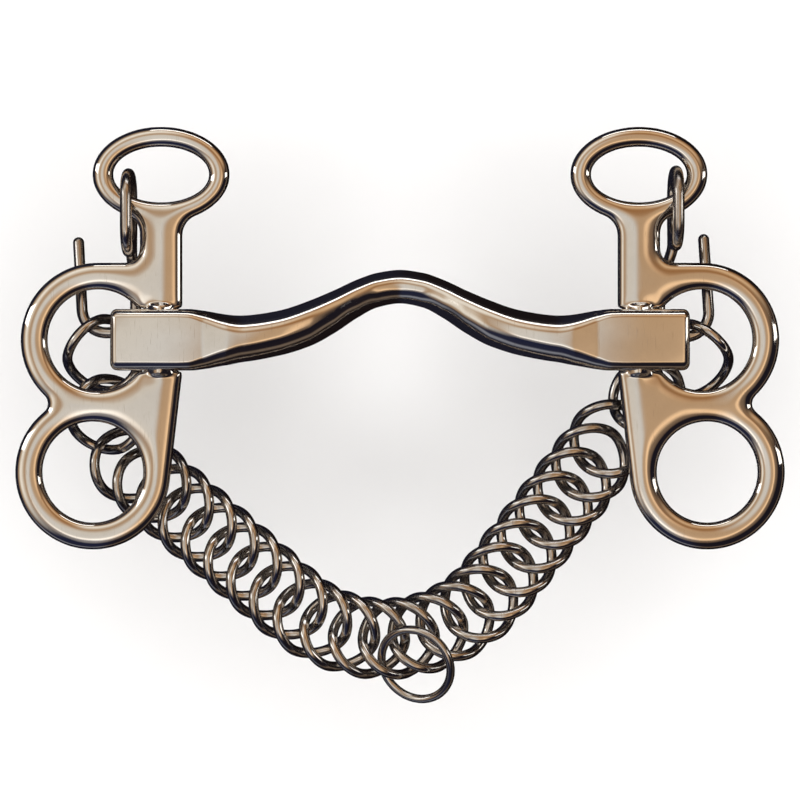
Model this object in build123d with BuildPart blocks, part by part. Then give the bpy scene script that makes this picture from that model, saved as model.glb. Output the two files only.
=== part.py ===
from build123d import *
import os
from math import acos, atan2, cos, degrees, pi, radians, sin, tan

# A loose-cheek butterfly curb bit with a low port, laid flat with its curb chain hooked up.
# Millimetres. +X runs along the mouthpiece to the right cheek, +Y from the mouthpiece to the
# eyes, +Z up. The origin is on the table, under the middle of the bounding box. The places
# below are drawn with the mouthpiece at Y 0, and save() moves the finished pieces.

# ---- driving dimensions -------------------------------------------------------------------
MOUTH_WIDTH = 127.0  # between the shanks, the size that a rider orders
SHANK_WIDTH = 12.4
SWIVEL_X = MOUTH_WIDTH / 2 + 6.1  # the upright line that each cheek turns about
SWIVEL_Z = 15.5  # height of the cheeks' middle plane above the table
PLATE = 5.6  # thickness of a cheek
PLATE_ROUND = 2.2  # rounding of a cheek's edges

EYE = (0.0, 48.2)  # places on a cheek are (out from the swivel line, up)
EYE_HALF = (20.0, 13.9)
EYE_HOLE_HALF = (14.0, 8.1)
UPPER_RING = (18.4, 0.0)
UPPER_RING_R = 22.5
LOWER_RING = (19.9, -38.5)
LOWER_RING_R = 22.6
RING_HOLE_R = 14.7

BARREL_HEIGHT = 18.0  # along Y
BARREL_DEPTH = 12.2  # along Z
BARREL_OUT = 14.4  # reach past the swivel line
BARREL_IN = 8.6  # reach inside it, where the cannon begins
BARREL_ROUND = 2.2
JOURNAL_R = 4.5
JOURNAL_PLAY = 0.06  # running clearance on the radius
END_GAP = 0.3  # between a barrel and the shoulders of its cheek

PORT_RISE = 16.0
PORT_DROP = 9.7  # how far the port leans back towards the table

WIRE_R = 1.5  # chain wire
LINK_R = 10.75  # middle line of a ring's wire
LINK_SLOPE = 0.9  # how steeply a twisted ring climbs through its own plane
LINKS = 22
LINK_Z = 4.85
CHAIN_LEFT = (-79.8, -36.6)  # middle of the first double link
CHAIN_POINT = (1.5, -107.0)  # where the two arms would meet
CHAIN_RIGHT = (62.0, -29.0)  # middle of the last double link
CHAIN_BEND_R = 42.0
FLY_R = 11.0  # the fly link, which takes the lip strap
FLY_WIRE_R = 1.25

HOOK_R = 1.7  # wire of a hook's closed loop
SHAFT_R = 1.65  # the same wire, drawn a touch thinner where it leaves the loop for the J
LOOP_HALF = 7.0  # half width of the closed loop, wire middle to middle
LOOP_Z = 15.8  # height of the loop's middle

ORIGIN_SHIFT = 22.5  # from the mouthpiece's Y 0 to the middle of the bounding box

LEFT, RIGHT = -1, 1
os.makedirs("parts", exist_ok=True)


def save(solid, name):
    """Moves a finished piece to the shared origin, labels it and writes its own STEP file."""
    placed = Pos(0, ORIGIN_SHIFT, 0) * solid
    placed.label = name
    export_step(placed, f"parts/{name}.step")


# ---- cheeks -------------------------------------------------------------------------------
def on_cheek(side, place):
    """A place on a cheek, in the bit's own X and Y."""
    return (side * (SWIVEL_X + place[0]), place[1])


def cheek_web():
    """Corners of the flat metal that ties shank, rings and eye together, going round."""
    half = SHANK_WIDTH / 2
    shoulder = BARREL_HEIGHT / 2 + END_GAP
    tangent = radians(186)  # where the inner edge runs into the lower ring
    low = (LOWER_RING[0] + LOWER_RING_R * cos(tangent), LOWER_RING[1] + LOWER_RING_R * sin(tangent))
    return [
        (-half, EYE[1] - EYE_HALF[1] + 2),
        (half, EYE[1] - EYE_HALF[1] + 2),
        (half, UPPER_RING_R),
        (UPPER_RING[0], UPPER_RING_R),
        UPPER_RING,
        LOWER_RING,
        low,
        (-half, -shoulder),
    ]


def make_cheek(side, name):
    """One cheek: oval eye, shank with its journal, and the two rings."""
    shoulder = BARREL_HEIGHT / 2 + END_GAP
    with BuildPart() as cheek:
        with BuildSketch(Plane.XY.offset(SWIVEL_Z - PLATE / 2)) as outline:
            with BuildLine():
                Polyline([on_cheek(side, p) for p in cheek_web()], close=True)
            make_face()
            with Locations(on_cheek(side, EYE)):
                Ellipse(*EYE_HALF)
            with Locations(on_cheek(side, UPPER_RING)):
                Circle(UPPER_RING_R)
            with Locations(on_cheek(side, LOWER_RING)):
                Circle(LOWER_RING_R)
            with Locations(on_cheek(side, EYE)):
                Ellipse(*EYE_HOLE_HALF, mode=Mode.SUBTRACT)
            with Locations(on_cheek(side, UPPER_RING), on_cheek(side, LOWER_RING)):
                Circle(RING_HOLE_R, mode=Mode.SUBTRACT)
            with Locations(on_cheek(side, (1.0, 0))):
                Rectangle(20, 2 * shoulder, mode=Mode.SUBTRACT)
            for place, radius in corners_to_round():
                corner = outline.vertices().sort_by_distance((*on_cheek(side, place), 0))[0]
                fillet(corner, radius)
        extrude(amount=PLATE)
        rims = cheek.faces().filter_by(Axis.Z).edges()
        butts = [edge for edge in rims if abs(abs(edge.center().Y) - shoulder) < 0.01]
        fillet([edge for edge in rims if edge not in butts], PLATE_ROUND)
        with BuildSketch(Plane.XZ.offset(-shoulder - 1)):
            with Locations((side * SWIVEL_X, SWIVEL_Z)):
                Circle(JOURNAL_R)
        extrude(amount=2 * shoulder + 2)
    save(cheek.part, name)


def corners_to_round():
    """Inside corners of a cheek's outline, each with the radius that blends it."""
    half = SHANK_WIDTH / 2
    waist = (33.0, -18.5)
    return [
        ((-half, 35.0), 6.0),
        ((half, 35.0), 5.0),
        ((half, UPPER_RING_R), 4.0),
        (waist, 3.0),
    ]


# ---- mouthpiece ---------------------------------------------------------------------------
def bar_section(x, height, depth, rise, round_share):
    """One cross-section of the bar, a rounded rectangle square to X."""
    lean = PORT_DROP * rise / PORT_RISE
    plane = Plane(origin=(x, rise, SWIVEL_Z - lean), x_dir=(0, 1, 0), z_dir=(1, 0, 0))
    with BuildSketch(plane) as section:
        RectangleRounded(height, depth, round_share * min(height, depth) / 2)
    return section.sketch


# distance from the middle, height along Y, depth along Z, rise of the port, roundness
BAR = [
    (0.0, 9.9, 11.0, PORT_RISE, 0.97),
    (6.5, 10.2, 11.0, 15.0, 0.97),
    (12.5, 11.3, 11.2, 12.4, 0.97),
    (19.0, 12.6, 11.8, 8.6, 0.97),
    (26.0, 13.4, BARREL_DEPTH, 5.1, 0.97),
    (35.0, 13.2, BARREL_DEPTH, 2.1, 0.97),
    (45.0, 13.6, BARREL_DEPTH, 0.4, 0.95),
    (51.0, 15.0, BARREL_DEPTH, 0.0, 0.8),
    (57.0, 17.1, BARREL_DEPTH, 0.0, 0.55),
    (SWIVEL_X - BARREL_IN, BARREL_HEIGHT, BARREL_DEPTH, 0.0, 0.4),
]


def make_mouthpiece():
    """The ported bar with a boxy swivel barrel at each end."""
    right = [bar_section(*station) for station in BAR]
    left = [bar_section(-x, *rest) for x, *rest in reversed(BAR[1:])]
    length = BARREL_OUT + BARREL_IN
    middle = SWIVEL_X + (BARREL_OUT - BARREL_IN) / 2
    with BuildPart() as mouthpiece:
        loft(left + right)
        for side in (LEFT, RIGHT):
            with BuildSketch(Plane.YZ.offset(side * middle - length / 2)):
                with Locations((0, SWIVEL_Z)):
                    RectangleRounded(BARREL_HEIGHT, BARREL_DEPTH, BARREL_ROUND)
            extrude(amount=length)
            end = mouthpiece.faces().sort_by(Axis.X)[0 if side == LEFT else -1]
            fillet(end.edges(), BARREL_ROUND - 0.3)
        with BuildSketch(Plane.XZ.offset(-BARREL_HEIGHT)):
            with Locations((-SWIVEL_X, SWIVEL_Z), (SWIVEL_X, SWIVEL_Z)):
                Circle(JOURNAL_R + JOURNAL_PLAY)
        extrude(amount=2 * BARREL_HEIGHT, mode=Mode.SUBTRACT)
    save(mouthpiece.part, "mouthpiece")


# ---- curb hooks ---------------------------------------------------------------------------
# A hook's places are (out from the middle of the bit, up, height above the table).
LEFT_HOOK = {
    "loop": (79.0, 37.0),
    "loop_length": 22.5,
    "route": [
        (79.0, 25.0, LOOP_Z - LOOP_HALF),
        (78.07, 16.0, 6.64),
        (78.07, 2.35, 6.64),
        (93.57, 2.35, 6.64),
        (95.0, 30.6, 6.64),
    ],
    "radii": [8.0, 8.0, 7.2, 7.2],
}
RIGHT_HOOK = {
    "loop": (80.3, 38.3),
    "loop_length": 21.5,
    "route": [
        (80.3, 27.0, LOOP_Z - LOOP_HALF),
        (76.64, 16.0, 7.0),
        (76.64, 1.13, 7.0),
        (91.64, 1.13, 7.0),
        (89.5, 31.5, 7.0),
    ],
    "radii": [8.0, 8.0, 7.1, 7.1],
}


def make_hook(side, hook, name):
    """A curb hook: a closed loop for the eye, and an open J bent from the same wire."""
    x, y = hook["loop"]
    low = y - hook["loop_length"] / 2 + LOOP_HALF
    high = y + hook["loop_length"] / 2 - LOOP_HALF
    back, front = LOOP_Z - LOOP_HALF, LOOP_Z + LOOP_HALF
    with BuildPart() as bent:
        with BuildLine():
            Line((side * x, low, front), (side * x, high, front))
            top = (side * x, high + LOOP_HALF, LOOP_Z)
            ThreePointArc((side * x, high, front), top, (side * x, high, back))
            Line((side * x, high, back), (side * x, low, back))
            bottom = (side * x, low - LOOP_HALF, LOOP_Z)
            ThreePointArc((side * x, low, back), bottom, (side * x, low, front))
        with BuildSketch(Plane(origin=(side * x, low, front), z_dir=(0, 1, 0))):
            Circle(HOOK_R)
        sweep()
        route = [(x, low, back)] + hook["route"]
        with BuildLine() as shaft:
            FilletPolyline([(side * px, py, pz) for px, py, pz in route], radius=hook["radii"])
        with BuildSketch(Plane(origin=shaft.line @ 0, z_dir=shaft.line % 0)):
            Circle(SHAFT_R)
        sweep(path=shaft.line)
    save(bent.part, name)


# ---- chain --------------------------------------------------------------------------------
def make_ring(plane, name, slope=LINK_SLOPE, radius=LINK_R, wire=WIRE_R):
    """A ring of wire on a plane. Its four quarter arcs climb and fall in turn, so that it is
    twisted like a saddle, and at a slope of 0 they lie flat."""
    corners, ways = [], []
    for k in range(5):
        corner = Vector(cos(k * pi / 2), sin(k * pi / 2), 0) * radius
        way = Vector(-sin(k * pi / 2), cos(k * pi / 2), slope if k % 2 == 0 else -slope)
        corners.append(plane.from_local_coords(corner))
        ways.append(plane.from_local_coords(corner + way) - corners[-1])
    with BuildPart() as ring:
        with BuildLine():
            for k in range(4):
                TangentArc(corners[k], corners[k + 1], tangent=ways[k])
        with BuildSketch(Plane(origin=corners[0], z_dir=ways[0])):
            Circle(wire)
        sweep()
    save(ring.part, name)


def chain_places():
    """Middle and heading of each double link, evenly spaced along the two straight arms and
    the bend that joins them."""
    first, point, last = Vector(*CHAIN_LEFT), Vector(*CHAIN_POINT), Vector(*CHAIN_RIGHT)
    down, up = (point - first).normalized(), (last - point).normalized()
    turn = acos(down.dot(up))
    tangent = CHAIN_BEND_R * tan(turn / 2)
    arm, bend = (point - first).length - tangent, CHAIN_BEND_R * turn
    whole = arm + bend + (last - point).length - tangent
    heading = atan2(down.Y, down.X)
    middle = first + down * arm + Vector(-down.Y, down.X) * CHAIN_BEND_R
    places = []
    for k in range(LINKS):
        run = whole * k / (LINKS - 1)
        angle = heading + min(max(run - arm, 0) / CHAIN_BEND_R, turn)
        if run < arm:
            place = first + down * run
        elif run < arm + bend:
            place = middle + Vector(sin(angle), -cos(angle)) * CHAIN_BEND_R
        else:
            place = point + up * (tangent + run - arm - bend)
        places.append((place, degrees(angle)))
    return places


def ring_plane(place, heading=0.0, roll=0.0, pitch=0.0):
    """A plane for a ring: tipped about its own X and Y, then turned to its heading."""
    return Plane(Location(place, (0, 0, heading)) * Location((0, 0, 0), (roll, pitch, 0)))


def make_chain():
    """The double links from left to right, the single rings at both ends and the fly link."""
    for number, (place, heading) in enumerate(chain_places(), 1):
        plane = ring_plane((place.X, place.Y, LINK_Z), heading)
        make_ring(plane, f"chain_link_{number:02d}")
    for name, place, tip, heading in SINGLE_RINGS:
        make_ring(ring_plane(place, heading, *tip), name)


# name, middle, tip about the ring's own X and Y, heading
SINGLE_RINGS = [
    ("left_hook_ring", (-87.53, -4.3, 6.1), (-11.3, 11.53), -83.31),
    ("left_end_ring", (-86.54, -21.87, 5.53), (-5.43, 5.96), -71.35),
    ("right_end_ring", (73.7, -17.14, 5.87), (3.91, -8.92), -142.19),
    ("right_hook_ring", (86.3, -5.51, 5.79), (-10.77, 13.34), -173.31),
]
FLY_PLANE = ring_plane((4.66, -95.22, 9.91), -59.78, 29.22, 3.14)  # at the chain's low point

make_mouthpiece()
make_cheek(LEFT, "left_cheek")
make_cheek(RIGHT, "right_cheek")
make_hook(LEFT, LEFT_HOOK, "left_curb_hook")
make_hook(RIGHT, RIGHT_HOOK, "right_curb_hook")
make_chain()
make_ring(FLY_PLANE, "fly_link", 0, FLY_R, FLY_WIRE_R)
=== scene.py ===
import logging
import math
from dataclasses import dataclass
from enum import Enum

import bmesh
import bpy
import numpy as np
from mathutils import Euler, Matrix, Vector


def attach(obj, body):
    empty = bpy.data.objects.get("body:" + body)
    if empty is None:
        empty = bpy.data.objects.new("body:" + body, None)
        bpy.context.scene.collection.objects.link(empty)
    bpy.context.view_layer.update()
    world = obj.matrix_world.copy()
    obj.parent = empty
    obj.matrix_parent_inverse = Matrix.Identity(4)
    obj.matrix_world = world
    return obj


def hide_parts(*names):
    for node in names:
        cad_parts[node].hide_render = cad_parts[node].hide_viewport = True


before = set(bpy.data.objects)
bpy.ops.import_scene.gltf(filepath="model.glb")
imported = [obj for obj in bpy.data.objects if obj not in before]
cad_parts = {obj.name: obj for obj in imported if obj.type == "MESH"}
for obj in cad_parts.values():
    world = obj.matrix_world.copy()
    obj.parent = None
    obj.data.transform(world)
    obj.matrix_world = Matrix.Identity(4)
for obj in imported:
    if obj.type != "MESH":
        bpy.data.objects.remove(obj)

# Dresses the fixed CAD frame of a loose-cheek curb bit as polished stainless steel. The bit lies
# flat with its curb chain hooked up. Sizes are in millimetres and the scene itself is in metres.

log = logging.getLogger("curb_bit")

MM = 0.001
ORIGIN_SHIFT = 22.5  # from the mouthpiece's line to the frame's origin, along Y


class Side(Enum):
    """Which end of the mouthpiece a piece belongs to."""

    LEFT = -1
    RIGHT = 1


class Slot(Enum):
    """The record's material slots."""

    CAST = "cast_steel"
    WIRE = "wire_steel"


# ---- curves and surfaces --------------------------------------------------------------------
def unit(vectors: np.ndarray) -> np.ndarray:
    """Scales vectors to length 1.

    Args:
        vectors: One vector, or rows of them.

    Returns:
        The same directions with unit length.
    """
    return vectors / np.linalg.norm(vectors, axis=-1, keepdims=True)


def arc(start: np.ndarray, tangent: np.ndarray, end: np.ndarray, steps: int) -> np.ndarray:
    """Points of the circular arc that leaves start along tangent and arrives at end.

    With w the part of the chord square to the tangent, the radius is chord squared over twice
    |w|, and the arc turns through twice the angle between tangent and chord.

    Args:
        start: First point.
        tangent: Direction at the start.
        end: Last point.
        steps: Number of equal turns to divide the arc into.

    Returns:
        Rows of points from start to end, both included.
    """
    way = unit(np.asarray(tangent, float))
    chord = np.asarray(end, float) - start
    across = chord - (chord @ way) * way
    radius = (chord @ chord) / (2 * np.linalg.norm(across))
    whole = 2 * math.atan2(np.linalg.norm(across), chord @ way)
    turn = np.linspace(0, whole, steps + 1)[:, None]
    return start + radius * np.sin(turn) * way + radius * (1 - np.cos(turn)) * unit(across)


def bent_path(corners: list[tuple], radii: list[float], steps: int = 12) -> np.ndarray:
    """A polyline with each inside corner bent to a radius.

    Args:
        corners: Points that the straight legs run between.
        radii: Bending radius at each corner but the first and last.
        steps: Number of turns in each bend.

    Returns:
        Rows of points along the path.
    """
    points = np.array(corners, float)
    parts = [points[:1]]
    for k, radius in enumerate(radii, 1):
        back, ahead = unit(points[k - 1] - points[k]), unit(points[k + 1] - points[k])
        half = math.acos(float(back @ ahead)) / 2
        cut = radius / math.tan(half)
        parts.append(arc(points[k] + back * cut, -back, points[k] + ahead * cut, steps))
    parts.append(points[-1:])
    return np.vstack(parts)


END_TURNS = np.radians([8, 26, 44, 62, 80])  # how far each ring of a rounded wire end has turned in


@dataclass(frozen=True)
class Tube:
    """Round wire along a centreline.

    Attributes:
        path: Rows of centreline points.
        upright: A direction that the path never runs along.
        radius: Radius of the wire.
        closed: Whether the last point joins the first.
        around: Number of points round the wire.
    """

    path: np.ndarray
    upright: tuple[float, float, float]
    radius: float
    closed: bool
    around: int = 32

    def rings(self) -> np.ndarray:
        """Rings of surface points, one to each centreline point.

        A point is centre + r (cos a side + sin a top), with side square to the tangent and to
        upright. An open end is five rings that shrink as a quarter circle, so that it is rounded over.

        Returns:
            An array of rings by points by 3.
        """
        path, radius = self.path, np.full(len(self.path), self.radius)
        if self.closed:
            tangent = unit(np.roll(path, -1, 0) - np.roll(path, 1, 0))
        else:
            first, last = unit(path[1] - path[0]), unit(path[-1] - path[-2])
            head = path[0] + self.radius * np.outer(1 - np.sin(END_TURNS[::-1]), first)
            tail = path[-1] - self.radius * np.outer(1 - np.sin(END_TURNS), last)
            path = np.vstack([head, path[1:-1], tail])
            shrink = self.radius * np.cos(END_TURNS)
            radius = np.concatenate([shrink[::-1], radius[1:-1], shrink])
            tangent = unit(np.gradient(path, axis=0))
            tangent[:len(END_TURNS)], tangent[-len(END_TURNS):] = first, last
        side = unit(np.cross(tangent, np.array(self.upright, float)))
        top = np.cross(side, tangent)
        angle = np.linspace(0, 2 * math.pi, self.around, endpoint=False)
        wheel = (np.cos(angle)[None, :, None] * side[:, None]
                 + np.sin(angle)[None, :, None] * top[:, None])
        return path[:, None] + radius[:, None, None] * wheel


def skin(rings: np.ndarray, closed: bool, first: int = 0) -> tuple[np.ndarray, list[list[int]]]:
    """Joins rings of points into a closed surface of four-sided faces.

    Args:
        rings: An array of rings by points by 3.
        closed: Whether the last ring joins the first. Otherwise both ends get a flat cap.
        first: Number of the first point.

    Returns:
        Rows of points, and the faces as lists of point numbers.
    """
    count, around = rings.shape[:2]
    here = np.arange(count if closed else count - 1)[:, None] * around
    ahead = (here + around) % (count * around)
    step = np.arange(around)[None, :]
    turn = (step + 1) % around
    quads = np.stack([here + step, here + turn, ahead + turn, ahead + step], -1)
    faces = (quads.reshape(-1, 4) + first).tolist()
    if not closed:
        faces.append((first + np.arange(around)[::-1]).tolist())
        faces.append((first + (count - 1) * around + np.arange(around)).tolist())
    return rings.reshape(-1, 3), faces


def add_piece(name: str, shells: list[tuple[np.ndarray, bool]], node: str,
              material: bpy.types.Material) -> bpy.types.Object:
    """Makes a smooth piece from closed shells and lets it stand for a CAD node.

    Args:
        name: Name of the new object.
        shells: Rings of surface points in millimetres from the mouthpiece's line, each with
            whether they close on themselves.
        node: The CAD node and body that the piece stands for and rides on.
        material: Finish of the piece.

    Returns:
        The new object.
    """
    points, faces, first = [], [], 0
    for rings, closed in shells:
        part, quads = skin(rings, closed, first)
        points.append(part)
        faces += quads
        first += len(part)
    places = (np.vstack(points) + [0, ORIGIN_SHIFT, 0]) * MM
    mesh = bpy.data.meshes.new(name)
    mesh.from_pydata(places.tolist(), [], faces)
    mesh.update()
    face_outwards(mesh)
    mesh.shade_smooth()
    piece = bpy.data.objects.new(name, mesh)
    bpy.context.scene.collection.objects.link(piece)
    return dress(piece, node, material)


def face_outwards(mesh: bpy.types.Mesh) -> None:
    """Merges doubled points and turns every face's normal outwards.

    Args:
        mesh: The mesh to tidy, which is changed in place.
    """
    work = bmesh.new()
    work.from_mesh(mesh)
    bmesh.ops.remove_doubles(work, verts=work.verts, dist=1e-7)
    bmesh.ops.recalc_face_normals(work, faces=work.faces)
    work.to_mesh(mesh)
    work.free()


def dress(piece: bpy.types.Object, node: str,
          material: bpy.types.Material) -> bpy.types.Object:
    """Gives a piece its finish and its place on the frame.

    Args:
        piece: The object to dress.
        node: The CAD node that it stands for, and the body that it rides on.
        material: Finish of the piece.

    Returns:
        The same object.
    """
    piece.data.materials.clear()
    piece.data.materials.append(material)
    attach(piece, node)
    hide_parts(node)
    return piece


# ---- finishes -------------------------------------------------------------------------------
def add_node(tree: bpy.types.NodeTree, kind: str, inputs: dict[str | int, object] | None = None,
             **settings: object) -> bpy.types.Node:
    """Adds a node, sets it and then fills its inputs.

    Args:
        tree: The node tree to add to.
        kind: Type of the node.
        inputs: A value or another node's output for each input, by its name or number.
        **settings: The node's own settings, such as its operation.

    Returns:
        The new node.
    """
    made = tree.nodes.new(kind)
    for name, value in settings.items():
        setattr(made, name, value)
    for key, value in (inputs or {}).items():
        if isinstance(value, bpy.types.NodeSocket):
            tree.links.new(value, made.inputs[key])
        else:
            made.inputs[key].default_value = value
    return made


def new_group(name: str, outputs: dict[str, str]) -> tuple[bpy.types.NodeTree, bpy.types.Node]:
    """Starts a shader node group that reads a place on the piece and an amount.

    Args:
        name: Name of the group.
        outputs: Output names, each with its socket type.

    Returns:
        The group and its input node.
    """
    group = bpy.data.node_groups.new(name, "ShaderNodeTree")
    group.interface.new_socket("Vector", in_out="INPUT", socket_type="NodeSocketVector")
    group.interface.new_socket("Amount", in_out="INPUT", socket_type="NodeSocketFloat")
    for label, kind in outputs.items():
        group.interface.new_socket(label, in_out="OUTPUT", socket_type=kind)
    return group, group.nodes.new("NodeGroupInput")


# Each way that the scratches run: its turn in radians, their fineness and the noise level above
# which they show.
SCRATCH_RUNS = ((0.4, 2400.0, 0.66), (1.3, 1900.0, 0.68), (2.5, 2900.0, 0.67))
SCRATCH_LENGTH = 14  # times a scratch's width
SCRATCH_SPREAD = 4  # times a scratch's width, into the surface
SCRATCH_EDGE = 0.08  # how softly a scratch begins, in noise levels
SCRATCH_DEPTH = 0.00003


def scratch_group() -> bpy.types.NodeTree:
    """Fine straight scratches that run three ways, as a mask and as a surface normal.

    Each way is a noise stretched along it, cut so that only its crests show.

    Returns:
        The node group, with outputs Mask and Normal.
    """
    group, start = new_group("HandlingScratches", {"Mask": "NodeSocketFloat", "Normal": "NodeSocketVector"})
    total = None
    for turn, grain, low in SCRATCH_RUNS:
        mapping = add_node(group, "ShaderNodeMapping", {
            "Vector": start.outputs["Vector"], "Rotation": (0.3, 0.2, turn),
            "Scale": (grain, grain / SCRATCH_LENGTH, grain / SCRATCH_SPREAD)})
        noise = add_node(group, "ShaderNodeTexNoise", {
            "Vector": mapping.outputs["Vector"], "Scale": 1.0, "Detail": 2.0})
        crest = add_node(group, "ShaderNodeMapRange", {
            "Value": noise.outputs["Fac"], "From Min": low, "From Max": low + SCRATCH_EDGE})
        total = crest if total is None else add_node(
            group, "ShaderNodeMath", {0: total.outputs[0], 1: crest.outputs[0]}, operation="MAXIMUM")
    scale = add_node(group, "ShaderNodeMath", {0: total.outputs[0], 1: start.outputs["Amount"]},
                     operation="MULTIPLY")
    bump = add_node(group, "ShaderNodeBump", {
        "Strength": 0.08, "Distance": SCRATCH_DEPTH, "Height": scale.outputs[0]})
    add_node(group, "NodeGroupOutput", {"Mask": scale.outputs[0], "Normal": bump.outputs["Normal"]})
    return group


def tarnish_group() -> bpy.types.NodeTree:
    """Soft cloudy patches where polish has dulled.

    Returns:
        The node group, with output Mask.
    """
    group, start = new_group("DulledPatches", {"Mask": "NodeSocketFloat"})
    cloud = add_node(group, "ShaderNodeTexNoise", {
        "Vector": start.outputs["Vector"], "Scale": 55.0, "Detail": 5.0, "Roughness": 0.65})
    patch = add_node(group, "ShaderNodeMapRange", {
        "Value": cloud.outputs["Fac"], "From Min": 0.42, "From Max": 0.72})
    scale = add_node(group, "ShaderNodeMath", {0: patch.outputs[0], 1: start.outputs["Amount"]},
                     operation="MULTIPLY")
    add_node(group, "NodeGroupOutput", {"Mask": scale.outputs[0]})
    return group


@dataclass(frozen=True)
class SteelFinish:
    """Polished stainless steel with handling wear.

    Attributes:
        name: Name of the material.
        bright: Colour where the polish is clean.
        dull: Colour where it has dulled.
        gloss: Roughness where the polish is clean.
        worn: Roughness of scratches and dulled patches.
        scratches: Strength of the scratches, 0 to 1.
        patches: Strength of the dulled patches, 0 to 1.
    """

    name: str
    bright: tuple[float, float, float]
    dull: tuple[float, float, float]
    gloss: float
    worn: float
    scratches: float
    patches: float

    def material(self, groups: dict[str, bpy.types.NodeTree]) -> bpy.types.Material:
        """Builds the material.

        Args:
            groups: The shared node groups by name.

        Returns:
            The new material.
        """
        made = bpy.data.materials.new(self.name)
        made.use_nodes = True
        made.diffuse_color = (*self.bright, 1)
        tree = made.node_tree
        shader = tree.nodes["Principled BSDF"]
        shader.inputs["Metallic"].default_value = 1.0
        coords = add_node(tree, "ShaderNodeTexCoord")
        scratches, patches = (
            add_node(tree, "ShaderNodeGroup", {"Amount": amount, "Vector": coords.outputs["Object"]},
                     node_tree=groups[label])
            for label, amount in (("HandlingScratches", self.scratches), ("DulledPatches", self.patches)))
        worst = add_node(tree, "ShaderNodeMath", {
            0: scratches.outputs["Mask"], 1: patches.outputs["Mask"]}, operation="MAXIMUM")
        tint = add_node(tree, "ShaderNodeMix", {
            "A": (*self.bright, 1), "B": (*self.dull, 1), "Factor": worst.outputs[0]}, data_type="RGBA")
        rough = add_node(tree, "ShaderNodeMapRange", {
            "To Min": self.gloss, "To Max": self.worn, "Value": worst.outputs[0]})
        tree.links.new(tint.outputs["Result"], shader.inputs["Base Color"])
        tree.links.new(rough.outputs["Result"], shader.inputs["Roughness"])
        tree.links.new(scratches.outputs["Normal"], shader.inputs["Normal"])
        return made


CHEEK_STEEL = SteelFinish("polished_cheek_steel", bright=(0.80, 0.77, 0.73), dull=(0.62, 0.58, 0.53),
                          gloss=0.05, worn=0.2, scratches=0.5, patches=0.35)
BAR_STEEL = SteelFinish("polished_mouthpiece_steel", bright=(0.80, 0.78, 0.75), dull=(0.60, 0.57, 0.53),
                        gloss=0.07, worn=0.24, scratches=0.6, patches=0.45)
CHAIN_STEEL = SteelFinish("chain_wire_steel", bright=(0.66, 0.65, 0.64), dull=(0.38, 0.36, 0.34),
                          gloss=0.10, worn=0.3, scratches=0.7, patches=0.6)
HOOK_STEEL = SteelFinish("hook_wire_steel", bright=(0.60, 0.58, 0.56), dull=(0.42, 0.39, 0.36),
                         gloss=0.14, worn=0.38, scratches=1.0, patches=0.8)


# ---- chain ----------------------------------------------------------------------------------
@dataclass(frozen=True)
class WireRing:
    """One ring of the chain.

    Attributes:
        node: CAD node that the ring stands for.
        place: Middle of the ring.
        heading: Turn about Z, in degrees.
        tip: Turns about the ring's own X and Y, in degrees.
        slope: How steeply the four quarter arcs climb and fall in turn.
        radius: Middle line of the wire.
        wire: Radius of the wire.
    """

    node: str
    place: tuple[float, float, float]
    heading: float
    tip: tuple[float, float] = (0.0, 0.0)
    slope: float = 0.9
    radius: float = 10.75
    wire: float = 1.5

    def build(self, material: bpy.types.Material) -> bpy.types.Object:
        """Builds the ring: four arcs that meet tangentially at the quarter points.

        Args:
            material: Finish of the wire.

        Returns:
            The new object.
        """
        quarter = np.arange(5) * math.pi / 2
        climb = self.slope * np.array([1, -1, 1, -1, 1])
        corners = self.radius * np.stack([np.cos(quarter), np.sin(quarter), 0 * quarter], 1)
        ways = np.stack([-np.sin(quarter), np.cos(quarter), climb], 1)
        arcs = [arc(corners[k], ways[k], corners[k + 1], 32)[:-1] for k in range(4)]
        turn = (Euler((0, 0, math.radians(self.heading))).to_matrix()
                @ Euler((math.radians(self.tip[0]), 0, 0)).to_matrix()
                @ Euler((0, math.radians(self.tip[1]), 0)).to_matrix())
        spin = np.array(turn)
        tube = Tube(np.vstack(arcs) @ spin.T + self.place, tuple(spin[:, 2]), self.wire, True)
        return add_piece(f"{self.node}_wire", [(tube.rings(), True)], self.node, material)


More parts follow.
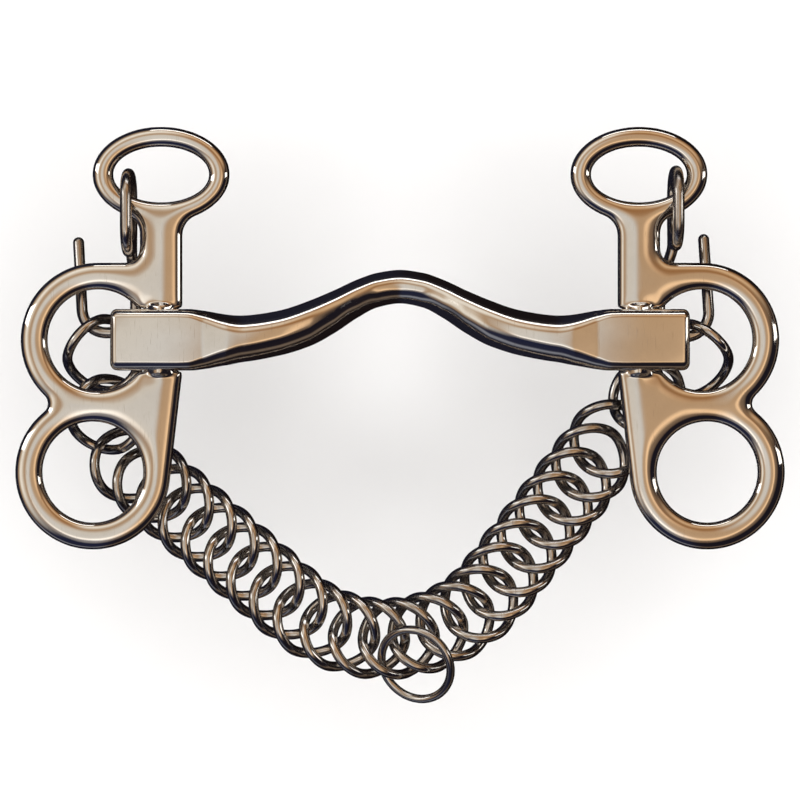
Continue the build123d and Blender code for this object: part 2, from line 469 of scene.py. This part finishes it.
@dataclass(frozen=True)
class CurbChain:
    """The double-link chain: two straight arms joined by a bend, and the single rings.

    Attributes:
        first: Middle of the leftmost double link.
        point: Where the two arms would meet.
        last: Middle of the rightmost double link.
        bend: Radius of the bend that joins the arms.
        height: Height of the links above the table.
        links: Number of double links.
    """

    first: tuple[float, float] = (-79.8, -36.6)
    point: tuple[float, float] = (1.5, -107.0)
    last: tuple[float, float] = (62.0, -29.0)
    bend: float = 42.0
    height: float = 4.85
    links: int = 22

    def rings(self) -> list[WireRing]:
        """Places every ring of the chain.

        Returns:
            The double links from left to right, then the end rings and the fly link.
        """
        first, point, last = map(np.array, (self.first, self.point, self.last))
        down, up = unit(point - first), unit(last - point)
        turn = math.acos(float(down @ up))
        tangent = self.bend * math.tan(turn / 2)
        arm, bend = np.linalg.norm(point - first) - tangent, self.bend * turn
        whole = arm + bend + np.linalg.norm(last - point) - tangent
        heading = math.atan2(down[1], down[0])
        middle = first + down * arm + np.array([-down[1], down[0]]) * self.bend
        made = []
        for k in range(self.links):
            run = whole * k / (self.links - 1)
            angle = heading + min(max(run - arm, 0) / self.bend, turn)
            if run < arm:
                spot = first + down * run
            elif run < arm + bend:
                spot = middle + np.array([math.sin(angle), -math.cos(angle)]) * self.bend
            else:
                spot = point + up * (tangent + run - arm - bend)
            made.append(WireRing(f"chain_link_{k + 1:02d}", (*spot, self.height), math.degrees(angle)))
        return made + [
            WireRing("left_hook_ring", (-87.53, -4.3, 6.1), -83.31, (-11.3, 11.53)),
            WireRing("left_end_ring", (-86.54, -21.87, 5.53), -71.35, (-5.43, 5.96)),
            WireRing("right_end_ring", (73.7, -17.14, 5.87), -142.19, (3.91, -8.92)),
            WireRing("right_hook_ring", (86.3, -5.51, 5.79), -173.31, (-10.77, 13.34)),
            WireRing("fly_link", (4.66, -95.22, 9.91), -59.78, (29.22, 3.14), 0.0, 11.0, 1.25),
        ]

    def build(self, material: bpy.types.Material) -> list[bpy.types.Object]:
        """Builds the whole chain.

        Args:
            material: Finish of the wire.

        Returns:
            The new objects.
        """
        return [ring.build(material) for ring in self.rings()]


# ---- curb hooks -----------------------------------------------------------------------------
@dataclass(frozen=True)
class CurbHook:
    """A hook bent from one wire: a closed loop for the eye and an open J for the chain.

    Attributes:
        side: Which cheek it hangs from.
        loop: Middle of the closed loop, out from the middle of the bit and up.
        length: Length of the loop along Y, wire middle to middle.
        route: Corners of the J's path, out, up and above the table.
        radii: Bending radius at each of them but the last.
        half: Half the loop's width, wire middle to middle.
        height: Height of the loop's middle.
        wire: Radius of the loop's wire.
        shaft: Radius of the J's wire.
    """

    side: Side
    loop: tuple[float, float]
    length: float
    route: tuple[tuple[float, float, float], ...]
    radii: tuple[float, ...]
    half: float = 7.0
    height: float = 15.8
    wire: float = 1.7
    shaft: float = 1.65

    def build(self, material: bpy.types.Material) -> bpy.types.Object:
        """Builds the hook.

        Args:
            material: Finish of the wire.

        Returns:
            The new object.
        """
        sign = self.side.value
        out, up = sign * self.loop[0], self.loop[1]
        low, high = up - self.length / 2 + self.half, up + self.length / 2 - self.half
        back, front = self.height - self.half, self.height + self.half
        top = arc(np.array([out, high, front]), (0, 1, 0), (out, high, back), 24)
        bottom = arc(np.array([out, low, back]), (0, -1, 0), (out, low, front), 24)
        loop = Tube(np.vstack([top, bottom]), (1, 0, 0), self.wire, True)
        corners = [(out, low, back)] + [(sign * x, y, z) for x, y, z in self.route]
        shaft = Tube(bent_path(corners, list(self.radii)), (0, 0, 1), self.shaft, False)
        name = f"{self.side.name.lower()}_curb_hook"
        return add_piece(f"{name}_wire", [(loop.rings(), True), (shaft.rings(), False)], name,
                         material)


HOOKS = (
    CurbHook(Side.LEFT, (79.0, 37.0), 22.5,
             ((79.0, 25.0, 8.8), (78.07, 16.0, 6.64), (78.07, 2.35, 6.64), (93.57, 2.35, 6.64),
              (95.0, 30.6, 6.64)), (8.0, 8.0, 7.2, 7.2)),
    CurbHook(Side.RIGHT, (80.3, 38.3), 21.5,
             ((80.3, 27.0, 8.8), (76.64, 16.0, 7.0), (76.64, 1.13, 7.0), (91.64, 1.13, 7.0),
              (89.5, 31.5, 7.0)), (8.0, 8.0, 7.1, 7.1)),
)


# ---- mouthpiece -----------------------------------------------------------------------------
@dataclass(frozen=True)
class Mouthpiece:
    """The ported bar and its boxy swivel barrels, as one polished skin.

    Attributes:
        stations: Rows of distance from the middle, height along Y, depth along Z, rise of the
            port and corner radius of the section.
        reach: Distance from the middle to the outer end of a barrel.
        axis_height: Height of the barrels' middle above the table.
        port_rise: Rise of the port.
        port_drop: How far the port leans back towards the table.
        barrel: Half a barrel's length.
        barrel_start: Distance from the middle where the bar begins to become a barrel.
        barrel_blend: Distance over which a barrel's lengthwise crown sets in.
        end_round: Rounding of a barrel's outer end.
        crown: How much thinner the section is at its sides, as a share, which crowns its flats.
        end_crown: The same for a barrel's ends.
        side_crown: The same for the sides that face along Y.
        around: Points on each corner of a section.
    """

    stations: tuple[tuple[float, ...], ...] = (
        (0.0, 9.9, 11.0, 16.0, 4.8), (6.5, 10.2, 11.0, 15.0, 4.9), (12.5, 11.3, 11.2, 12.4, 5.4),
        (19.0, 12.6, 11.8, 8.6, 5.7), (26.0, 13.4, 12.2, 5.1, 5.9), (35.0, 13.2, 12.2, 2.1, 5.9),
        (45.0, 13.5, 12.2, 0.4, 5.8), (51.0, 14.9, 12.2, 0.0, 4.9), (57.0, 17.0, 12.2, 0.0, 3.6),
        (61.5, 18.0, 12.2, 0.0, 2.6), (66.0, 18.0, 12.2, 0.0, 2.4), (84.0, 18.0, 12.2, 0.0, 2.4),
    )
    reach: float = 84.0
    axis_height: float = 15.5
    port_rise: float = 16.0
    port_drop: float = 9.7
    barrel: float = 13.5
    barrel_start: float = 50.0
    barrel_blend: float = 7.0
    end_round: float = 1.9
    crown: float = 0.13
    end_crown: float = 0.065
    side_crown: float = 0.052
    around: int = 16

    def build(self, material: bpy.types.Material) -> bpy.types.Object:
        """Builds the skin from sections square to X.

        A section is a rounded rectangle: the middle of its corner in each quadrant, plus the
        corner radius times (cos a, sin a). Its flats are crowned by the square of the distance from
        the middle, and a barrel's also along its length. Between stations every size follows a smooth
        monotone cubic. The outer end closes in over a quarter circle.

        Args:
            material: Finish of the mouthpiece.

        Returns:
            The new object.
        """
        table = np.array(self.stations)
        turn = np.radians(np.linspace(5, 90, 9))
        bar = np.linspace(0, self.reach - self.end_round, 150)
        half = np.concatenate([bar, self.reach - self.end_round * (1 - np.sin(turn))])
        inset = np.concatenate([np.zeros(len(bar)), self.end_round * (1 - np.cos(turn))])
        high, deep, rise, corner = (smooth(half, table[:, 0], table[:, k]) for k in range(1, 5))
        corner = np.maximum(corner - inset, 0.3)
        x = np.concatenate([-half[:0:-1], half])
        high, deep, rise, corner = (np.concatenate([v[:0:-1], v]) for v in
                                    (high - 2 * inset, deep - 2 * inset, rise, corner))
        angle = np.radians(np.concatenate([
            np.linspace(start, start + 90, self.around) for start in (0, 90, 180, 270)]))
        quadrant = np.repeat(np.arange(4), self.around)
        sign_y = np.where((quadrant == 0) | (quadrant == 3), 1, -1)
        sign_z = np.where(quadrant < 2, 1, -1)
        y = sign_y * (high / 2 - corner)[:, None] + corner[:, None] * np.cos(angle)
        z = sign_z * (deep / 2 - corner)[:, None] + corner[:, None] * np.sin(angle)
        end = np.clip((np.abs(x) - self.reach + self.barrel) / self.barrel, -1, 1)[:, None]
        share = np.clip((np.abs(x) - self.barrel_start) / self.barrel_blend, 0, 1)[:, None]
        z = z * (1 - self.crown * (y / (high / 2)[:, None]) ** 2 - self.end_crown * share * end**2)
        y = y * (1 - self.side_crown * (z / (deep / 2)[:, None]) ** 2) + rise[:, None]
        z = z + (self.axis_height - self.port_drop * rise / self.port_rise)[:, None]
        rings = np.stack([np.broadcast_to(x[:, None], y.shape), y, z], -1)
        return add_piece("mouthpiece_skin", [(rings, False)], "mouthpiece", material)


def smooth(at: np.ndarray, x: np.ndarray, y: np.ndarray) -> np.ndarray:
    """A smooth monotone cubic through stations.

    The slope at a station is the harmonic mean of the slopes on both sides, or 0 where they
    differ in sign and at both ends.

    Args:
        at: Places to read.
        x: Rising places of the stations.
        y: Values at the stations.

    Returns:
        Values at the places to read.
    """
    step = np.diff(x)
    rise = np.diff(y) / step
    before, after = rise[:-1], rise[1:]
    same = before * after > 0
    mean = np.where(same, 2 * before * after / np.where(same, before + after, 1), 0)
    slope = np.concatenate([[0], mean, [0]])
    k = np.clip(np.searchsorted(x, at, side="right") - 1, 0, len(step) - 1)
    t = (at - x[k]) / step[k]
    return ((1 + 2 * t) * (1 - t) ** 2 * y[k] + t * (1 - t) ** 2 * step[k] * slope[k]
            + t * t * (3 - 2 * t) * y[k + 1] + t * t * (t - 1) * step[k] * slope[k + 1])


# ---- cheeks ---------------------------------------------------------------------------------
@dataclass(frozen=True)
class Cheek:
    """A cheek, cast and then polished until its faces are slightly domed and its edges soft.

    Attributes:
        side: Which end of the mouthpiece it swivels on.
        middle: Height of the cheek's middle plane above the table.
        grain: Spacing of the surface points.
        edge_share: Thickness just inside an edge, as a share of the full thickness.
        dome_width: Distance from an edge over which the full thickness is reached.
        polish: Number of rounds of smoothing.
        batches: Number of parts that the points are measured in, which limits the memory.
    """

    side: Side
    middle: float = 15.5
    grain: float = 0.4
    edge_share: float = 0.74
    dome_width: float = 6.0
    polish: int = 30
    batches: int = 60

    def build(self, material: bpy.types.Material) -> bpy.types.Object:
        """Builds the cheek from an evenly meshed copy of its CAD surface.

        Args:
            material: Finish of the cheek.

        Returns:
            The new object.
        """
        node = f"{self.side.name.lower()}_cheek"
        copy = bpy.data.objects.new(f"{node}_skin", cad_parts[node].data.copy())
        bpy.context.scene.collection.objects.link(copy)
        face_outwards(copy.data)
        even = copy.modifiers.new("even_mesh", "REMESH")
        even.mode, even.voxel_size = "VOXEL", self.grain * MM
        copy.data = self.shown_mesh(copy)
        copy.modifiers.clear()
        self.dome(copy.data)
        soften = copy.modifiers.new("polish", "SMOOTH")
        soften.factor, soften.iterations = 0.5, self.polish
        copy.data = self.shown_mesh(copy)
        copy.modifiers.clear()
        copy.data.shade_smooth()
        return dress(copy, node, material)

    @staticmethod
    def shown_mesh(piece: bpy.types.Object) -> bpy.types.Mesh:
        """Reads a piece's mesh with its modifiers worked out.

        Args:
            piece: The object to read.

        Returns:
            A new mesh.
        """
        graph = bpy.context.evaluated_depsgraph_get()
        return bpy.data.meshes.new_from_object(piece.evaluated_get(graph))

    def dome(self, mesh: bpy.types.Mesh) -> None:
        """Thins the cheek towards its edges.

        With d the distance to the nearest edge over the dome's width, at most 1, a height h from
        the middle plane becomes h (e + (1 - e) d d (3 - 2 d)), where e is the edge's share.

        Args:
            mesh: The cheek's mesh, which is changed in place.
        """
        places = np.empty(len(mesh.vertices) * 3, np.float32)
        mesh.vertices.foreach_get("co", places)
        places = places.reshape(-1, 3)
        height = places[:, 2] / MM - self.middle
        # The upright edges cross the middle plane, where the grain leaves a row or two of points.
        edge = places[np.abs(height) < 0.55 * self.grain, :2]
        flat = np.concatenate([
            np.sqrt(((part[:, None, :2] - edge[None]) ** 2).sum(-1).min(1))
            for part in np.array_split(places, self.batches)])
        share = np.clip(flat / MM / self.dome_width, 0, 1)
        share = self.edge_share + (1 - self.edge_share) * share * share * (3 - 2 * share)
        places[:, 2] = (self.middle + height * share) * MM
        mesh.vertices.foreach_set("co", places.ravel())
        mesh.update()


# ---- studio ---------------------------------------------------------------------------------
@dataclass(frozen=True)
class Card:
    """A glowing panel that the steel reflects and the camera doesn't see.

    Attributes:
        name: Name of the panel.
        place: Middle of the panel, in metres.
        size: Width and height, in metres.
        colour: Colour of its light.
        strength: Brightness.
        faces: Point that it faces, in metres.
    """

    name: str
    place: tuple[float, float, float]
    size: tuple[float, float]
    colour: tuple[float, float, float]
    strength: float
    faces: tuple[float, float, float] = (0.0, 0.0, 0.0)

    def build(self) -> None:
        """Builds the panel."""
        mesh = bpy.data.meshes.new(self.name)
        w, h = self.size[0] / 2, self.size[1] / 2
        mesh.from_pydata([(-w, -h, 0), (w, -h, 0), (w, h, 0), (-w, h, 0)], [], [(0, 1, 2, 3)])
        panel = bpy.data.objects.new(self.name, mesh)
        bpy.context.scene.collection.objects.link(panel)
        panel.location = self.place
        away = Vector(self.faces) - Vector(self.place)
        panel.rotation_euler = away.to_track_quat("Z", "Y").to_euler()
        glow = bpy.data.materials.new(self.name)
        glow.use_nodes = True
        glow.node_tree.nodes.clear()
        shine = add_node(glow.node_tree, "ShaderNodeEmission", {
            "Color": (*self.colour, 1), "Strength": self.strength})
        add_node(glow.node_tree, "ShaderNodeOutputMaterial", {"Surface": shine.outputs["Emission"]})
        mesh.materials.append(glow)
        panel.visible_camera = panel.visible_shadow = panel.visible_diffuse = False


@dataclass(frozen=True)
class Ramp:
    """Colours that turn smoothly into one another.

    Attributes:
        stops: Places from 0 to 1, each with its colour.
    """

    stops: tuple[tuple[float, tuple[float, float, float]], ...]

    def node(self, tree: bpy.types.NodeTree, place: bpy.types.NodeSocket) -> bpy.types.Node:
        """Makes the colour ramp.

        Args:
            tree: The material's node tree.
            place: Where on the ramp to read.

        Returns:
            The new node.
        """
        made = add_node(tree, "ShaderNodeValToRGB", {"Fac": place})
        made.color_ramp.interpolation = "EASE"
        elements = made.color_ramp.elements
        for _ in self.stops[2:]:
            elements.new(0.5)
        for element, (height, colour) in zip(elements, self.stops):
            element.position = height
            element.color = (*colour, 1)
        return made


@dataclass(frozen=True)
class Surroundings:
    """The room that the steel mirrors: a dome that glows softly and that the camera doesn't see.

    Towards the bright side it runs from a dark horizon through tan to pale grey overhead, and
    towards the dark side from navy through one white window to the same grey. It turns golden
    to the right of overhead.

    Attributes:
        bright: Colours towards the upper left, from the horizon to overhead.
        dark: Colours towards the lower right, from the horizon to overhead.
        golden: Colours that multiply the light, from left to right.
        dark_way: The way along the floor that the dark side lies.
        dark_span: How far along it, as a share of the radius, the bright side ends and the dark
            side begins.
        stir: How far the colours are stirred by noise.
        stir_scale: How fine that noise is.
        radius: Radius of the dome, in metres.
    """

    bright: Ramp = Ramp((
        (0.00, (0.015, 0.015, 0.025)), (0.20, (0.03, 0.03, 0.04)), (0.34, (0.42, 0.28, 0.17)),
        (0.52, (1.00, 0.92, 0.80)), (0.68, (0.50, 0.34, 0.21)), (0.84, (0.74, 0.68, 0.60)),
        (1.00, (0.72, 0.69, 0.65))))
    dark: Ramp = Ramp((
        (0.00, (0.015, 0.015, 0.025)), (0.12, (0.25, 0.26, 0.30)), (0.25, (0.02, 0.022, 0.045)),
        (0.56, (0.015, 0.018, 0.045)), (0.68, (0.30, 0.28, 0.28)), (0.75, (1.50, 1.42, 1.30)),
        (0.84, (0.80, 0.76, 0.71)), (1.00, (0.72, 0.69, 0.65))))
    golden: Ramp = Ramp(((0.38, (1.0, 1.0, 1.0)), (0.64, (0.74, 0.52, 0.33))))
    dark_way: tuple[float, float, float] = (0.5, -0.86, 0.0)
    dark_span: tuple[float, float] = (-0.25, 0.3)
    stir: float = 0.18
    stir_scale: float = 2.3
    radius: float = 3.0

    def build(self) -> None:
        """Builds the dome and its light."""
        work = bmesh.new()
        bmesh.ops.create_icosphere(work, subdivisions=4, radius=self.radius)
        mesh = bpy.data.meshes.new("surroundings")
        work.to_mesh(mesh)
        work.free()
        dome = bpy.data.objects.new("surroundings", mesh)
        bpy.context.scene.collection.objects.link(dome)
        mesh.materials.append(self.glow())
        dome.visible_camera = dome.visible_diffuse = dome.visible_shadow = False

    def stirred_way(self, tree: bpy.types.NodeTree) -> bpy.types.NodeSocket:
        """Reads the way from the dome's middle to a place on it, stirred a little by noise.

        Args:
            tree: The material's node tree.

        Returns:
            The output that holds the way, with length 1.
        """
        coords = add_node(tree, "ShaderNodeTexCoord")
        way = add_node(tree, "ShaderNodeVectorMath", {
            0: coords.outputs["Object"], "Scale": 1 / self.radius}, operation="SCALE")
        noise = add_node(tree, "ShaderNodeTexNoise", {
            "Vector": way.outputs["Vector"], "Scale": self.stir_scale, "Detail": 3.0})
        stirred = add_node(tree, "ShaderNodeVectorMath", {
            0: noise.outputs["Color"], 1: (self.stir,) * 3, 2: way.outputs["Vector"]},
            operation="MULTIPLY_ADD")
        centred = add_node(tree, "ShaderNodeVectorMath", {
            0: stirred.outputs["Vector"], 1: (self.stir / 2,) * 3}, operation="SUBTRACT")
        even = add_node(tree, "ShaderNodeVectorMath", {0: centred.outputs["Vector"]},
                        operation="NORMALIZE")
        return even.outputs["Vector"]

    def glow(self) -> bpy.types.Material:
        """Builds the dome's light from its own object coordinates.

        A ramp is read at the height above the horizon, 1 - 2 acos(z) / pi.

        Returns:
            The new material.
        """
        made = bpy.data.materials.new("surroundings")
        made.use_nodes = True
        tree = made.node_tree
        tree.nodes.clear()
        way = self.stirred_way(tree)
        parts = add_node(tree, "ShaderNodeSeparateXYZ", {"Vector": way})
        lean = add_node(tree, "ShaderNodeVectorMath", {0: way, 1: self.dark_way}, operation="DOT_PRODUCT")
        side = add_node(tree, "ShaderNodeMapRange", {
            "From Min": self.dark_span[0], "From Max": self.dark_span[1], "Value": lean.outputs["Value"]},
            interpolation_type="SMOOTHSTEP")
        across = add_node(tree, "ShaderNodeMath", {0: parts.outputs["X"], 1: 0.5}, operation="ADD")
        down = add_node(tree, "ShaderNodeMath", {0: parts.outputs["Z"]}, operation="ARCCOSINE")
        height = add_node(tree, "ShaderNodeMath", {
            0: down.outputs["Value"], 1: -2 / math.pi, 2: 1.0}, operation="MULTIPLY_ADD")
        bright = self.bright.node(tree, height.outputs["Value"])
        dark = self.dark.node(tree, height.outputs["Value"])
        golden = self.golden.node(tree, across.outputs["Value"])
        both = add_node(tree, "ShaderNodeMix", {
            "Factor": side.outputs["Result"], "A": bright.outputs["Color"], "B": dark.outputs["Color"]},
            data_type="RGBA")
        warm = add_node(tree, "ShaderNodeMix", {
            "Factor": 1.0, "A": both.outputs["Result"], "B": golden.outputs["Color"]},
            data_type="RGBA", blend_type="MULTIPLY")
        shine = add_node(tree, "ShaderNodeEmission", {"Color": warm.outputs["Result"]})
        add_node(tree, "ShaderNodeOutputMaterial", {"Surface": shine.outputs["Emission"]})
        return made


@dataclass(frozen=True)
class Studio:
    """Pale floor, soft light, reflecting cards and the camera overhead.

    Attributes:
        cards: The panels that the steel reflects.
        floor_depth: How far the floor lies below the bit, in metres.
        floor_half: Half the floor's width, in metres.
        lamp_height: Height of the lamp, in metres.
        lamp_width: Width of the lamp, in metres.
        lamp_power: Power of the lamp, in watts.
        room: Colour of the even light from all round.
        room_strength: Brightness of that light.
        lens: Focal length of the camera, in millimetres.
        span: Width that the camera sees at the bit, in metres.
        centre: Point that the camera looks straight down at, in metres.
    """

    cards: tuple[Card, ...]
    floor_depth: float = 0.12
    floor_half: float = 4.0
    lamp_height: float = 1.5
    lamp_width: float = 1.6
    lamp_power: float = 34.0
    room: tuple[float, float, float] = (0.34, 0.31, 0.29)
    room_strength: float = 0.6
    lens: float = 100.0
    span: float = 0.2331
    centre: tuple[float, float, float] = (0.0, 0.005, 0.0155)

    def build_floor(self) -> None:
        """Lays the floor, which the steel itself doesn't reflect."""
        mesh = bpy.data.meshes.new("floor")
        half = self.floor_half
        mesh.from_pydata([(-half, -half, 0), (half, -half, 0), (half, half, 0), (-half, half, 0)], [],
                         [(0, 1, 2, 3)])
        floor = bpy.data.objects.new("floor", mesh)
        bpy.context.scene.collection.objects.link(floor)
        floor.location.z = -self.floor_depth
        floor.visible_glossy = False
        pale = bpy.data.materials.new("pale_floor")
        pale.use_nodes = True
        shader = pale.node_tree.nodes["Principled BSDF"]
        shader.inputs["Base Color"].default_value = (0.9, 0.9, 0.9, 1)
        shader.inputs["Roughness"].default_value = 0.9
        mesh.materials.append(pale)

    def build_light(self) -> None:
        """Sets the even light round the whole stage and one soft lamp overhead."""
        world = bpy.data.worlds.new("studio")
        world.use_nodes = True
        background = world.node_tree.nodes["Background"]
        background.inputs["Color"].default_value = (*self.room, 1)
        background.inputs["Strength"].default_value = self.room_strength
        bpy.context.scene.world = world
        lamp = bpy.data.lights.new("overhead", "AREA")
        lamp.energy, lamp.size, lamp.shape = self.lamp_power, self.lamp_width, "DISK"
        hung = bpy.data.objects.new("overhead", lamp)
        bpy.context.scene.collection.objects.link(hung)
        hung.location = (0, 0, self.lamp_height)
        hung.visible_glossy = False

    def build_camera(self) -> None:
        """Hangs the camera straight above the bit."""
        lens = bpy.data.cameras.new("camera")
        lens.lens, lens.sensor_width = self.lens, 36.0
        lens.dof.use_dof = False
        camera = bpy.data.objects.new("camera", lens)
        bpy.context.scene.collection.objects.link(camera)
        x, y, z = self.centre
        camera.location = (x, y, z + self.span * self.lens / lens.sensor_width)
        camera.rotation_euler = (0, 0, 0)
        bpy.context.scene.camera = camera

    def build(self) -> None:
        """Builds the whole studio."""
        self.build_floor()
        self.build_light()
        Surroundings().build()
        for card in self.cards:
            card.build()
        self.build_camera()
        bpy.context.scene.view_settings.view_transform = "Standard"


CARDS = (
    Card("softbox_left", (-1.5, 0.5, 1.0), (0.35, 1.0), (1, 0.98, 0.95), 2.4),
    Card("softbox_right", (1.5, 0.2, 0.8), (0.25, 0.9), (1, 0.96, 0.9), 2.2),
    Card("softbox_top", (0.2, 1.5, 0.7), (1.2, 0.25), (1, 0.98, 0.96), 2.2),
)


def write_size() -> None:
    """Brings the scene's placements up to date."""
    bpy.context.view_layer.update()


def main() -> None:
    """Builds every piece, dresses it and sets the studio."""
    write_size()
    groups = {"HandlingScratches": scratch_group(), "DulledPatches": tarnish_group()}
    cheek, bar, chain, hook = (
        finish.material(groups) for finish in (CHEEK_STEEL, BAR_STEEL, CHAIN_STEEL, HOOK_STEEL))
    pieces = [Mouthpiece().build(bar)]
    pieces += [Cheek(side).build(cheek) for side in Side]
    pieces += [bent.build(hook) for bent in HOOKS]
    pieces += CurbChain().build(chain)
    for piece in pieces:
        log.info("built %s", piece.name)
    Studio(CARDS).build()
    write_size()


if __name__ == "__main__":
    logging.basicConfig(level=logging.INFO)
    main()
